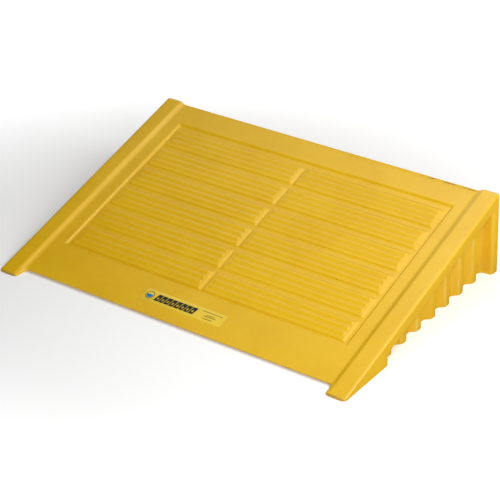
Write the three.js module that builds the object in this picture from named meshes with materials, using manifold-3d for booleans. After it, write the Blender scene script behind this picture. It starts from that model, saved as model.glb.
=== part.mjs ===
// Loading ramp for a spill containment pallet: a moulded polyethylene skin, open underneath.
// Millimetres, +Z up. X runs across the ramp and Y from its low front edge to the pallet.
import * as THREE from 'three';
import { mergeVertices } from 'three/addons/utils/BufferGeometryUtils.js';
import Module from 'manifold-3d';

const wasm = await Module();
wasm.setup();

// Overall
const WIDTH = 1245;          // over the top edges of the two rails
const BACK = 828;            // upright plane that stands against the pallet, from the deck's front edge
const TONGUE = 46;           // how far each rail runs on past the deck's front edge
const SLOPE = 0.295;         // rise of the deck per millimetre of run
const FRONT_HEIGHT = 10.5;   // deck surface above the floor at its front edge
const SKIN = 6;              // thickness of the moulding
const GAP = 0.3;             // clearance between neighbouring solids
const DRAFT = 0.048;         // outward lean of the side walls, per millimetre of drop

// Rails
const RAIL_RISE = 9;         // rail top above the deck
const RAIL_FOOT = 543;       // where the rail's hollow inner face runs out on the deck
const RAIL_EDGE = 561.5;     // inner edge of the rail's flat top
const LEDGE = 27;            // underside of the rail's flange, below the deck
const EDGE_ROUND = 6;        // long outer top edge
const BACK_ROUND = 8;        // top edge along the pallet side
const TIP_ROUND = 14;        // corners of the tongues, seen from above
const SOLID_END = 80;        // the rail is solid from its tip up to here

// Corrugated walls
const CREST_INSET = 23;      // crests behind the flange's outer face
const WAVE_DEPTH = 18;
const WAVE_PITCH = 83;
const CREST_FLAT = 25;
const FLANK = 16;            // run of one sloping flank
const CREST_COUNT = 7;
const LAST_CREST = 711;      // front corner of the crest next to the post
const GUSSET_END = 180;      // the flush front part of the wall stops here
const GUSSET_START = 68;
const POST_FRONT = 791;      // front edge of the flush corner post
const POST_RETURN = 560;     // the post wraps round the back as far as this X
const POST_FLANK = 12;
const WALL_ROUND = 7;        // how far a rounded corner of the wall starts from its point

// Deck
const LIP_ROUND = 3;
const DECK_BACK = 812;       // the deck meets the back rim here
const FIELD_HALF = 511.5;    // sunk tread field
const FIELD_FRONT = 136;
const FIELD_BACK = 740;
const FIELD_DEPTH = 6;
const FIELD_STEP = 5;
const PAD_ROWS = 6;
const PAD_PITCH = 97.5;
const PAD_FIRST = 149;       // front edge of the lowest row of pads
const PAD_LENGTH = 79;
const PAD_OUTER = 499;
const PAD_INNER = 8;
const PAD_RISE = 4;
const PAD_STEP = 4;
const PAD_END_STEP = 9;
const RIBS_PER_PAD = 3;
const RIB_PITCH = 20;
const RIB_WIDTH = 13;
const RIB_RISE = 2.5;
const RIB_STEP = 3.5;
const RIB_END = 20;          // rib ends short of the pad's end
const LABEL = { width: 286, front: 42, back: 88, thickness: 0.5 };

// Support ribs under the deck
const SUPPORT_XS = [-440, -220, 0, 220, 440];
const SUPPORT_THICKNESS = 8;
const SUPPORT_FRONT = 60;
const SUPPORT_BACK = 795;

const HALF = WIDTH / 2;
const TROUGH_INSET = CREST_INSET + WAVE_DEPTH;
const FAR = 2000;
const CORNER_STEPS = 3;

const YELLOW = new THREE.MeshStandardMaterial({ color: 0xdfae2c, roughness: 0.5, metalness: 0 });
const LABEL_YELLOW = new THREE.MeshStandardMaterial({ color: 0xe8cf3e, roughness: 0.4, metalness: 0 });

const deckHeight = (y) => FRONT_HEIGHT + SLOPE * y;
const railHeight = (y) => deckHeight(y) + RAIL_RISE;
const ledgeHeight = (y) => deckHeight(y) - LEDGE - GAP;

// ---- Helpers ------------------------------------------------------------------------------

// A polyline through the given corners, with every inner corner rounded.
function roundedLine(corners, round) {
  const points = corners.map(([x, y]) => new THREE.Vector2(x, y));
  const path = new THREE.Path().moveTo(points[0].x, points[0].y);
  for (let i = 1; i < points.length - 1; i += 1) {
    const corner = points[i];
    const before = towards(corner, points[i - 1], round);
    const after = towards(corner, points[i + 1], round);
    path.lineTo(before.x, before.y);
    path.quadraticCurveTo(corner.x, corner.y, after.x, after.y);
  }
  const last = points[points.length - 1];
  path.lineTo(last.x, last.y);
  return path.getPoints(CORNER_STEPS);
}

function towards(from, to, distance) {
  const reach = Math.min(distance, from.distanceTo(to) / 2);
  return from.clone().lerp(to, reach / from.distanceTo(to));
}

// The same polyline moved sideways to its right by the given distance.
function offsetLine(points, distance) {
  return points.map((point, i) => {
    const before = points[Math.max(i - 1, 0)];
    const after = points[Math.min(i + 1, points.length - 1)];
    const into = point.clone().sub(before).normalize();
    const out = after.clone().sub(point).normalize();
    if (i === 0) into.copy(out);
    if (i === points.length - 1) out.copy(into);
    const along = into.clone().add(out).normalize();
    const scale = distance / Math.max(along.dot(into), 0.5);
    return new THREE.Vector2(point.x + along.y * scale, point.y - along.x * scale);
  });
}

function sheet(points, thickness) {
  return [...points, ...offsetLine(points, thickness).reverse()];
}

function extrude(points, depth) {
  return new THREE.ExtrudeGeometry(new THREE.Shape(points), { depth, bevelEnabled: false });
}

// An outline in the X-Z plane, run along Y.
function alongY(points, from, to) {
  return extrude(points, to - from).rotateX(Math.PI / 2).translate(0, to, 0);
}

// An outline in the Y-Z plane, run along X.
function alongX(points, from, to) {
  const turn = new THREE.Matrix4().makeBasis(
    new THREE.Vector3(0, 1, 0), new THREE.Vector3(0, 0, 1), new THREE.Vector3(1, 0, 0));
  return extrude(points, to - from).applyMatrix4(turn).translate(from, 0, 0);
}

function block(x0, x1, y0, y1, z0, z1) {
  return new THREE.BoxGeometry(x1 - x0, y1 - y0, z1 - z0)
    .translate((x0 + x1) / 2, (y0 + y1) / 2, (z0 + z1) / 2);
}

// A block whose top is drawn in by stepX and stepY on each side (or spread out, if negative).
function taper(x0, x1, y0, y1, z0, z1, stepX, stepY) {
  return bend(block(x0, x1, y0, y1, z0, z1), (point) => {
    if (point.z < (z0 + z1) / 2) return;
    point.x += point.x > (x0 + x1) / 2 ? -stepX : stepX;
    point.y += point.y > (y0 + y1) / 2 ? -stepY : stepY;
  });
}

function bend(geometry, move) {
  const position = geometry.attributes.position;
  const point = new THREE.Vector3();
  for (let i = 0; i < position.count; i += 1) {
    point.fromBufferAttribute(position, i);
    move(point);
    position.setXYZ(i, point.x, point.y, point.z);
  }
  return geometry;
}

// Shapes drawn level, with the deck surface at height 0, take the deck's slope.
const tilt = (geometry) => bend(geometry, (point) => { point.z += deckHeight(point.y); });

function solid(geometry) {
  geometry.deleteAttribute('normal');
  geometry.deleteAttribute('uv');
  const merged = mergeVertices(geometry, 1e-4);
  return new wasm.Manifold(new wasm.Mesh({
    numProp: 3,
    vertProperties: merged.attributes.position.array,
    triVerts: new Uint32Array(merged.index.array),
  }));
}

function geometryOf(manifold) {
  const mesh = manifold.getMesh();
  const geometry = new THREE.BufferGeometry();
  geometry.setAttribute('position', new THREE.BufferAttribute(mesh.vertProperties, 3));
  geometry.setIndex(new THREE.BufferAttribute(mesh.triVerts, 1));
  return geometry;
}

const union = (solids) => solids.reduce((all, one) => all.add(one));

// ---- Deck ---------------------------------------------------------------------------------

function padSolids(row, side) {
  const front = PAD_FIRST + row * PAD_PITCH;
  const [x0, x1] = side > 0 ? [PAD_INNER, PAD_OUTER] : [-PAD_OUTER, -PAD_INNER];
  const floor = -FIELD_DEPTH;
  const top = floor + PAD_RISE;
  const pad = taper(x0, x1, front, front + PAD_LENGTH, floor - 1, top, PAD_END_STEP, PAD_STEP);
  const ribs = Array.from({ length: RIBS_PER_PAD }, (_, i) => {
    const middle = front + PAD_LENGTH / 2 + (i - (RIBS_PER_PAD - 1) / 2) * RIB_PITCH;
    return taper(x0 + RIB_END, x1 - RIB_END, middle - RIB_WIDTH / 2, middle + RIB_WIDTH / 2,
      top - 1, top + RIB_RISE, RIB_STEP, RIB_STEP);
  });
  return [pad, ...ribs].map(solid);
}

function deckPanel() {
  const half = RAIL_FOOT - GAP;
  const section = roundedLine([[DECK_BACK - GAP, 0], [0, 0], [0, -SKIN], [DECK_BACK - GAP, -SKIN]],
    LIP_ROUND);
  const plate = solid(alongX(section, -half, half));
  const tray = solid(taper(-FIELD_HALF - SKIN, FIELD_HALF + SKIN, FIELD_FRONT - SKIN,
    FIELD_BACK + SKIN, -FIELD_DEPTH - SKIN, -FIELD_DEPTH + 1, 0, 0));
  const field = solid(taper(-FIELD_HALF + FIELD_STEP, FIELD_HALF - FIELD_STEP,
    FIELD_FRONT + FIELD_STEP, FIELD_BACK - FIELD_STEP, -FIELD_DEPTH, 0, -FIELD_STEP, -FIELD_STEP));
  const above = solid(block(-FIELD_HALF, FIELD_HALF, FIELD_FRONT, FIELD_BACK, 0, SKIN));
  const pads = [];
  for (let row = 0; row < PAD_ROWS; row += 1) pads.push(...padSolids(row, -1), ...padSolids(row, 1));
  return tilt(geometryOf(plate.add(tray).subtract(field.add(above)).add(union(pads))));
}

function label() {
  const { width, front, back, thickness } = LABEL;
  return tilt(block(-width / 2, width / 2, front, back, GAP, GAP + thickness));
}

// ---- Rails and back rim -------------------------------------------------------------------

const LEDGE_END = HALF - TROUGH_INSET - SKIN;
const outerX = (z) => HALF + DRAFT * (RAIL_RISE - z);

// Outer surface of a rail in the X-Z plane: inner foot, hollow rise, flat top, flange, ledge.
function railSurface() {
  const path = new THREE.Path().moveTo(RAIL_FOOT, 0);
  path.quadraticCurveTo(RAIL_FOOT + 10, 0.5, RAIL_EDGE - 3, RAIL_RISE - 3);
  path.quadraticCurveTo(RAIL_EDGE, RAIL_RISE, RAIL_EDGE + 3, RAIL_RISE);
  path.lineTo(HALF - EDGE_ROUND, RAIL_RISE);
  path.quadraticCurveTo(HALF, RAIL_RISE, outerX(RAIL_RISE - EDGE_ROUND), RAIL_RISE - EDGE_ROUND);
  path.lineTo(outerX(-LEDGE), -LEDGE);
  path.lineTo(LEDGE_END, -LEDGE);
  return path.getPoints(CORNER_STEPS + 1);
}

// Inner surface of the same skin, from the ledge back to the deck.
function railUnderside() {
  const ledgeTop = SKIN - LEDGE;
  const ceiling = RAIL_RISE - SKIN;
  return [[LEDGE_END, ledgeTop], [outerX(ledgeTop) - SKIN, ledgeTop], [HALF - SKIN, ceiling],
    [RAIL_EDGE, ceiling], [RAIL_FOOT, -SKIN]].map(([x, z]) => new THREE.Vector2(x, z));
}

const mirrored = (points, side) => points.map((point) => new THREE.Vector2(side * point.x, point.y));

function rail(side) {
  const surface = railSurface();
  const skin = mirrored([...surface, ...railUnderside()], side);
  const filled = mirrored([...surface, new THREE.Vector2(RAIL_FOOT, -LEDGE)], side);
  const shell = solid(alongY(skin, -TONGUE, BACK));
  const front = solid(alongY(filled, -TONGUE, SOLID_END));
  const cap = solid(alongY(filled, BACK - SKIN, BACK));
  const profile = roundedLine([[-TONGUE, -FAR], [-TONGUE, RAIL_RISE], [BACK - BACK_ROUND * 2, RAIL_RISE],
    [BACK, RAIL_RISE], [BACK, -FAR]], BACK_ROUND);
  const inside = solid(alongX(profile, -FAR, FAR));
  const level = shell.add(front).add(cap).intersect(inside).intersect(solid(tongueOutline(side)));
  const below = solid(block(-FAR, FAR, -FAR, FAR, -FAR, 0));
  return geometryOf(solid(tilt(geometryOf(level))).subtract(below));
}

// Plan of a rail: the tongue has round corners and runs into the deck's edge in a hollow curve.
function tongueOutline(side) {
  const outline = new THREE.Path().moveTo(RAIL_FOOT, FAR);
  outline.lineTo(RAIL_FOOT, 0);
  outline.quadraticCurveTo(RAIL_EDGE - 2, -2, RAIL_EDGE, -TONGUE / 2);
  outline.lineTo(RAIL_EDGE, TIP_ROUND - TONGUE);
  outline.quadraticCurveTo(RAIL_EDGE, -TONGUE, RAIL_EDGE + TIP_ROUND, -TONGUE);
  outline.lineTo(HALF - TIP_ROUND, -TONGUE);
  outline.quadraticCurveTo(HALF, -TONGUE, HALF + 1, TIP_ROUND - TONGUE);
  outline.lineTo(HALF + TIP_ROUND, TIP_ROUND);
  outline.lineTo(HALF + TIP_ROUND, FAR);
  return extrude(mirrored(outline.getPoints(CORNER_STEPS + 1), side), FAR).translate(0, 0, -FAR / 2);
}

function backRim() {
  const surface = roundedLine([[DECK_BACK, 0], [BACK, 0], [BACK, -LEDGE],
    [BACK - WAVE_DEPTH - SKIN * 2, -LEDGE]], BACK_ROUND);
  const half = RAIL_FOOT - GAP;
  return tilt(alongX(sheet(surface, SKIN), -half, half));
}

// ---- Walls --------------------------------------------------------------------------------

// A wall drawn in plan is run up to the ledge and leans out towards its foot.
function wall(points, lean) {
  return bend(extrude(sheet(points, SKIN), 1), (point) => {
    point.z *= ledgeHeight(point.y);
    point.x += lean(point.x) * DRAFT * (railHeight(point.y) - point.z);
  });
}

// Corners of one row of crests and troughs, as [inset, place] pairs, from front to back.
function waveCorners(first, count, crestInset) {
  const troughInset = crestInset + WAVE_DEPTH;
  const corners = [];
  for (let i = 0; i < count; i += 1) {
    const front = first + i * WAVE_PITCH;
    const back = front + CREST_FLAT;
    corners.push([troughInset, front - FLANK], [crestInset, front]);
    corners.push([crestInset, back], [troughInset, back + FLANK]);
  }
  return corners;
}

const FIRST_CREST = LAST_CREST - (CREST_COUNT - 1) * WAVE_PITCH;
const GUSSET_SEAM = FIRST_CREST;
const POST_SEAM = LAST_CREST + CREST_FLAT + FLANK + FLANK / 2;

// The thickness grows away from the outer face, so the left wall's points run the other way.
function sideWall(side, insets) {
  const corners = insets.map(([inset, y]) => [side * (HALF - inset), y]);
  const points = roundedLine(corners, WALL_ROUND);
  return wall(side > 0 ? points.reverse() : points, () => side);
}

function frontGusset(side) {
  return sideWall(side, [[0, GUSSET_START], [0, GUSSET_END], [CREST_INSET, GUSSET_END + FLANK],
    [CREST_INSET, GUSSET_SEAM - GAP]]);
}

function corrugatedWall(side) {
  const waves = waveCorners(FIRST_CREST, CREST_COUNT, CREST_INSET).slice(2);
  return sideWall(side, [[CREST_INSET, GUSSET_SEAM], ...waves, [TROUGH_INSET, POST_SEAM - GAP]]);
}

function cornerPost(side) {
  return sideWall(side, [[TROUGH_INSET, POST_SEAM], [TROUGH_INSET, POST_FRONT - POST_FLANK],
    [0, POST_FRONT], [0, BACK], [HALF - POST_RETURN, BACK]]);
}

function backWall() {
  const span = POST_RETURN - GAP;
  const count = Math.floor((2 * span - CREST_FLAT) / WAVE_PITCH);
  const first = -((count - 1) * WAVE_PITCH + CREST_FLAT) / 2;
  const corners = [[WAVE_DEPTH, -span], ...waveCorners(first, count, 0), [WAVE_DEPTH, span]];
  const points = roundedLine(corners.map(([inset, x]) => [x, BACK - inset]), WALL_ROUND);
  return wall(points, (x) => x / POST_RETURN);
}

// Plate under the deck, from the floor to the underside of the tread tray.
function supportRib(x) {
  const under = (y, drop) => [y, deckHeight(y) - drop - GAP];
  const trayFront = FIELD_FRONT - SKIN - GAP;
  const trayBack = FIELD_BACK + SKIN + GAP;
  const tray = FIELD_DEPTH + SKIN;
  const outline = [[SUPPORT_FRONT, 0], [SUPPORT_BACK, 0], under(SUPPORT_BACK, SKIN),
    under(trayBack, SKIN), under(trayBack, tray), under(trayFront, tray), under(trayFront, SKIN),
    under(SUPPORT_FRONT, SKIN)].map(([y, z]) => new THREE.Vector2(y, z));
  return alongX(outline, x - SUPPORT_THICKNESS / 2, x + SUPPORT_THICKNESS / 2);
}

// ---- Assembly -----------------------------------------------------------------------------

const ramp = new THREE.Group();
ramp.position.y = (TONGUE - BACK) / 2;

function addPart(name, geometry, material = YELLOW) {
  const mesh = new THREE.Mesh(geometry, material);
  mesh.name = name;
  ramp.add(mesh);
}

addPart('deck_panel', deckPanel());
addPart('back_rim', backRim());
addPart('back_wall', backWall());
for (const [name, side] of [['left', -1], ['right', 1]]) {
  addPart(`${name}_rail`, rail(side));
  addPart(`${name}_front_gusset`, frontGusset(side));
  addPart(`${name}_side_wall`, corrugatedWall(side));
  addPart(`${name}_corner_post`, cornerPost(side));
}
SUPPORT_XS.forEach((x, i) => addPart(`support_rib_${i + 1}`, supportRib(x)));
addPart('label', label(), LABEL_YELLOW);

const object = new THREE.Group();
object.add(ramp);
export default object;
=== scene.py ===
"""Looks of a moulded loading ramp for a spill containment pallet, built round its CAD part."""
import math

import bmesh
import bpy
from bpy.props import FloatProperty, FloatVectorProperty, PointerProperty
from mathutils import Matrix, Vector


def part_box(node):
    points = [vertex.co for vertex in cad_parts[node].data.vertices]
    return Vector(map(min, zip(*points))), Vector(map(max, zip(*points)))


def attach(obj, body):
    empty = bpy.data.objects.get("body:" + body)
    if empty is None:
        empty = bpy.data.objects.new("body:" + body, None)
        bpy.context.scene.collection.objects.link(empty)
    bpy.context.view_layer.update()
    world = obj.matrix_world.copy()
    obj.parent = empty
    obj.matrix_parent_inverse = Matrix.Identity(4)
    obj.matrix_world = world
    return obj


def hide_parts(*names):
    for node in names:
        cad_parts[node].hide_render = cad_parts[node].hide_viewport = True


bl_info = {
    "name": "Spill Pallet Loading Ramp",
    "version": (1, 0, 0),
    "blender": (4, 5, 0),
    "location": "View3D > Sidebar > Ramp",
    "description": "Builds a ribbed polyethylene loading ramp, its label and a plain studio stage",
    "category": "Object",
}

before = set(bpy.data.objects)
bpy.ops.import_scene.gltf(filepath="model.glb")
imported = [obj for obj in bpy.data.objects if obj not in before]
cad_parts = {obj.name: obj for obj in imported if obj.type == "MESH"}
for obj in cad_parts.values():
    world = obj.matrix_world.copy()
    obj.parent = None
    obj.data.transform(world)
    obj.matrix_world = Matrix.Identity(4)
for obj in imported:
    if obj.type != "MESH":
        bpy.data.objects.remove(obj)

# ---- Driving dimensions, in metres --------------------------------------------------------
# X runs across the ramp. Pieces are drawn with Y = 0 at the deck's front edge and moved to
# DECK_FRONT at the end. "Level" heights are measured from the sloping deck surface.

MM = 0.001
DECK_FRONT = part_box("deck_panel")[0].y
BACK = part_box("left_rail")[1].y - DECK_FRONT
TONGUE_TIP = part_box("left_rail")[0].y - DECK_FRONT

HALF = 622.5 * MM            # half the width over the rails' top edges
SLOPE = 0.295
FRONT_HEIGHT = 10.5 * MM
DRAFT = 0.048                # outward lean of the walls, per metre of drop

RAIL_RISE = 9 * MM
RAIL_FOOT = 547 * MM
RAIL_HOLLOW = 8 * MM         # how far out from its foot the rail's hollow begins to climb
RAIL_WAIST = 13.5 * MM       # where hollow turns into shoulder, and at what share of the rise
RAIL_WAIST_SHARE = 0.48
RAIL_SHOULDER = 19.5 * MM
RAIL_FLAT = 572.5 * MM       # inner edge of the rail's level top
NOTCH_START = 540 * MM       # where the deck's front edge turns towards the tongue
NOTCH_END = -22 * MM         # how far forward that turn reaches
NOTCH_POWER = 2.4            # 2 would be a round turn, more is squarer
TONGUE_SIDE = 565 * MM       # inner edge of a tongue's top face
TONGUE_REACH = 10 * MM       # its inner side slopes out this far, like the rail behind it
SIDE_ROUND = 10 * MM         # reach of the long outer edge's rounding, and its drop
SIDE_DROP = 7 * MM
BACK_ROUND = 5 * MM
LIP_ROUND = 3 * MM
TIP_EDGE_ROUND = 5 * MM
TIP_CORNER = 9 * MM          # inner corner of a tongue's top face, seen from above
TIP_OUTER_CORNER = 8 * MM
BACK_CORNER = 6.5 * MM       # upright corners at the back
FACE_CORNER = 1 * MM         # the same corners where the top face ends, inside the rounding
GROOVE_INSET = 9 * MM        # a faint groove along the back, inside the lip
GROOVE_HALF = 2.5 * MM       # half its width
BAND_DEPTH = 27 * MM         # flange and back band reach this far below the deck
LEDGE_X = HALF - 47 * MM     # inner ends of the ledge under the flange and the back band
LEDGE_Y = BACK - 30 * MM
LEDGE_TURN_X = 540 * MM      # the ledge's inner ends are drawn in from here on
LEDGE_TURN_Y = 740 * MM
LEDGE_FRONT = (57 * MM, 120 * MM)    # it widens between these places behind the deck's front
ROLL_END = 40 * MM           # the deck's front edge has no flange as far back as this
LEAST_UNDERSIDE = 0.6 * MM   # the skin's underside stays this far above the floor
FEATHER = 0.03 * MM          # rounding of the flange where the wall below is flush with it

FIELD_MIDDLE = 3 * MM        # the tread field sits slightly off the middle
FIELD_HALF = 514 * MM
FIELD_FRONT = 136 * MM
FIELD_BACK = 740 * MM
FIELD_DEPTH = 6 * MM
FIELD_STEP = 6 * MM
PAD_ROWS = 6
PAD_PITCH = 97.5 * MM
PAD_FIRST = 145 * MM
PAD_LENGTH = 84 * MM
PAD_INNER = 3 * MM
PAD_OUTER = 499 * MM
PAD_STEP = 6 * MM
PAD_BACK_STEP = 11 * MM      # a pad's back slope is gentler
PAD_LEFT_STEP = 4 * MM       # a pad's left end is steep, its right end slopes gently
PAD_RIGHT_STEP = 9 * MM
RIBS_PER_PAD = 3
RIB_PITCH = 21.6 * MM
RIB_START = 13 * MM          # the first rib rises this far behind the pad's front edge
RIB_CREST = (0.52, 0.72)     # a rib's level top, as shares of the pitch from its front foot
RIB_STATIONS = [0.0, 0.12, 0.26, 0.40, 0.55, 0.68, 0.80, 0.87, 0.93]    # grid lines, likewise
RIB_END = 12 * MM            # a rib ends this far inside its pad's ends
RIB_END_STEP = 4 * MM

FRONT_ROWS = [5 * MM, 12 * MM, 30 * MM, 58 * MM, 100 * MM]      # grid lines on the plain margins
BACK_ROW = 768 * MM

CREST_INSET = 23 * MM        # insets are measured inwards from the rails' outer face
WAVE_DEPTH = 18 * MM
TROUGH_INSET = CREST_INSET + WAVE_DEPTH
WAVE_PITCH = 83 * MM
CREST_FLAT = 25 * MM
FLANK = 16 * MM
CREST_COUNT = 7
LAST_CREST = 711 * MM
GUSSET_START = 58 * MM
GUSSET_END = 180 * MM
POST_FRONT = 791 * MM
POST_FLANK = 3 * MM
POST_ROOT_ROUND = 16 * MM
POST_ROUND = 11 * MM
POST_RETURN = 560 * MM       # the posts wrap round the back as far in as this
WALL_TUCK = 2 * MM           # overhung stretches of wall run this far up into the ledge
FOOT_ROUND = 1.6 * MM

SUPPORT_XS = [-440 * MM, -220 * MM, 0.0, 220 * MM, 440 * MM]
SUPPORT_FRONT = 60 * MM
SUPPORT_BACK = 795 * MM
TRAY_MARGIN = 8 * MM         # a plate is cut down this far round the sunk tread field

LABEL_HALF_WIDTH = 143 * MM
LABEL_FRONT = 42 * MM
LABEL_BACK = 88 * MM
LABEL_CORNER = 5 * MM
LABEL_GAP = 0.05 * MM

# Print on the label, as (across, up) from its middle
PRINT_EDGE = 0.25 * MM
DISC_PLACE = (-123.5 * MM, 1 * MM)
DISC_RADIUS = 10.5 * MM
DISC_BAND = (-20 * MM, 3.5 * MM)        # the disc is coloured between these heights
RING = (12.5 * MM, 14.5 * MM)
BLOCK_HALF_PITCH = 9 * MM
BLOCK_COUNT = 8
BLOCK_SLANT = 0.28
BLOCK_START = -100 * MM
BLOCK_RISE = 13 * MM
BLOCK_GAP = (0.6 * MM, 1.3 * MM)        # half widths of the gap between blocks, soft edged
BLOCK_HOLE = (1.6 * MM, 2.3 * MM)       # the same for the hole in a block's middle
BLOCK_HOLE_BAND = (-6.5 * MM, 1.5 * MM)
LINE_RISE = 1.2 * MM
LINES = [(12.5 * MM, 62 * MM, 132 * MM), (2 * MM, 82 * MM, 112 * MM),
         (-3.5 * MM, 76 * MM, 118 * MM), (-12.5 * MM, 76 * MM, 110 * MM)]   # up, start, end

# Where the plastic is worn or dirty, and where a sheen is painted on the walls' crests
GRIME_ALONG = (360 * MM, 550 * MM)      # stretch of the back groove that holds grime
GRIME_DEPTH = (15 * MM, 10 * MM)        # it fades between these depths below the back lip
SCUFF_REACH = (6 * MM, 2 * MM)          # scuffs fade out between these distances from a tip
SHEEN_HALF = 2.5 * MM                   # half the width of a painted sheen streak


def deck_height(y):
    return FRONT_HEIGHT + SLOPE * y


# ---- What a user may change ---------------------------------------------------------------

class RampSizes(bpy.types.PropertyGroup):
    skin: FloatProperty(name="Skin", description="Thickness of the moulding",
                        default=6 * MM, unit="LENGTH")
    pad_rise: FloatProperty(name="Pad rise", description="Height of a tread pad above the field",
                            default=4 * MM, unit="LENGTH")
    rib_rise: FloatProperty(name="Rib rise", description="Height of a rib above its pad",
                            default=2.7 * MM, unit="LENGTH")
    groove_depth: FloatProperty(name="Groove depth", description="Depth of the groove at the back",
                                default=1.2 * MM, unit="LENGTH")
    hold: FloatProperty(name="Holding line", description="Flat strip kept beside each step",
                        default=1.3 * MM, unit="LENGTH")
    wall_round: FloatProperty(name="Wall round", description="Rounding of the wall's corners",
                              default=7 * MM, unit="LENGTH")
    flange_soft: FloatProperty(name="Flange edge", description="Rounding of the flange's lower edge",
                               default=2.5 * MM, unit="LENGTH")
    support_thickness: FloatProperty(name="Support thickness",
                                     description="Thickness of a plate under the deck",
                                     default=8 * MM, unit="LENGTH")
    label_thickness: FloatProperty(name="Label thickness", description="Thickness of the film",
                                   default=0.4 * MM, unit="LENGTH")


class RampFinish(bpy.types.PropertyGroup):
    plastic: FloatVectorProperty(name="Plastic", description="Colour of the polyethylene",
                                 default=(0.80, 0.48, 0.006), subtype="COLOR", size=3)
    plastic_deep: FloatVectorProperty(name="Deep plastic", description="Colour of its darker clouds",
                                      default=(0.765, 0.445, 0.004), subtype="COLOR", size=3)
    plastic_pale: FloatVectorProperty(name="Pale plastic", description="Colour of its chalky clouds",
                                      default=(0.80, 0.50, 0.018), subtype="COLOR", size=3)
    # painted highlight: colour of the sheen streaks painted down the walls' crest corners
    crest_sheen: FloatVectorProperty(name="Crest sheen", description="Colour of wear on the walls' crests",
                               default=(0.80, 0.60, 0.20), subtype="COLOR", size=3)
    dirt: FloatVectorProperty(name="Dirt", description="Colour of specks and scuffs",
                              default=(0.16, 0.11, 0.05), subtype="COLOR", size=3)
    roughness: FloatProperty(name="Roughness", description="Roughness of the plastic",
                             default=0.36, min=0.0, max=1.0, subtype="FACTOR")
    peel: FloatProperty(name="Orange peel", description="Height of the fine surface waves",
                        default=0.05 * MM, unit="LENGTH")
    film: FloatVectorProperty(name="Film", description="Colour of the label film",
                              default=(0.86, 0.60, 0.06), subtype="COLOR", size=3)
    ink: FloatVectorProperty(name="Ink", description="Colour of the label's dark print",
                             default=(0.02, 0.02, 0.018), subtype="COLOR", size=3)
    blue: FloatVectorProperty(name="Blue ink", description="Colour of the label's emblem",
                              default=(0.004, 0.22, 0.52), subtype="COLOR", size=3)


class StageSettings(bpy.types.PropertyGroup):
    azimuth: FloatProperty(name="Azimuth", description="Camera's turn round the ramp",
                           default=math.radians(34.65), subtype="ANGLE")
    elevation: FloatProperty(name="Elevation", description="Camera's height above the horizon",
                             default=math.radians(28.8), subtype="ANGLE")
    distance: FloatProperty(name="Distance", description="Camera's distance from the ramp",
                            default=4.987, unit="LENGTH")
    lens: FloatProperty(name="Lens", description="Focal length of the camera in millimetres",
                        default=118.2)
    aim: FloatProperty(name="Aim", description="Height of the point that the camera looks at",
                       default=131 * MM, unit="LENGTH")
    shift: FloatVectorProperty(name="Shift", description="Sideways and upward shift of the lens",
                               default=(0.0063, -0.0345), size=2)
    light_power: FloatProperty(name="Lights", description="Power that each light takes a share of",
                               default=100.0, unit="POWER")
    backdrop: FloatProperty(name="Backdrop", description="Brightness above the horizon",
                            default=0.8)
    floor: FloatVectorProperty(name="Floor", description="Colour of the floor",
                               default=(0.93, 0.93, 0.93), subtype="COLOR", size=3)
    glow_near: FloatProperty(name="Near glow", description="Light the floor gives off by the ramp",
                             default=0.12)
    glow_far: FloatProperty(name="Far glow", description="Light the floor gives off all round",
                            default=0.75)


# ---- Small helpers ------------------------------------------------------------------------

def rise(value, start, end):
    """0 at start and 1 at end, with a soft S between; end may be the lower of the two."""
    t = min(max((value - start) / (end - start), 0.0), 1.0)
    return t * t * (3.0 - 2.0 * t)


def blend(a, b, share):
    return a + (b - a) * share


def quad_curve(start, control, end, parts):
    """Points of a quadratic curve in the plane, with both ends."""
    points = []
    for i in range(parts + 1):
        t = i / parts
        near, middle, far = (1 - t) ** 2, 2 * t * (1 - t), t * t
        points.append(tuple(near * a + middle * b + far * c
                            for a, b, c in zip(start, control, end)))
    return points


def look_up(x, points):
    """Height at x on a polyline of (x, height) points."""
    for (x0, h0), (x1, h1) in zip(points, points[1:]):
        if x <= x1:
            return blend(h0, h1, max(x - x0, 0.0) / (x1 - x0))
    return points[-1][1]


def spaced(stations, gap):
    """The stations in order, without those closer than gap to the one before."""
    kept = []
    for place in sorted(stations):
        if not kept or place - kept[-1] > gap:
            kept.append(place)
    return kept


def step_stations(start, end, hold, parts):
    """Grid stations across one step of a surface, with a holding line outside each end."""
    low, high = min(start, end), max(start, end)
    across = [blend(low, high, i / parts) for i in range(parts + 1)]
    return [low - hold, *across, high + hold]


def finish_piece(bm, name, material, replaced, sharp_angle=40):
    """Moves a finished mesh to its place and makes it a piece of the ramp."""
    bmesh.ops.translate(bm, verts=bm.verts, vec=(0.0, DECK_FRONT, 0.0))
    mesh = bpy.data.meshes.new(name)
    bm.to_mesh(mesh)
    bm.free()
    mesh.polygons.foreach_set("use_smooth", [True] * len(mesh.polygons))
    mesh.set_sharp_from_angle(angle=math.radians(sharp_angle))
    mesh.materials.append(material)
    piece = bpy.data.objects.new(name, mesh)
    bpy.context.scene.collection.objects.link(piece)
    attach(piece, "root")
    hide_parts(*replaced)
    return piece


# ---- Materials ----------------------------------------------------------------------------

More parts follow.
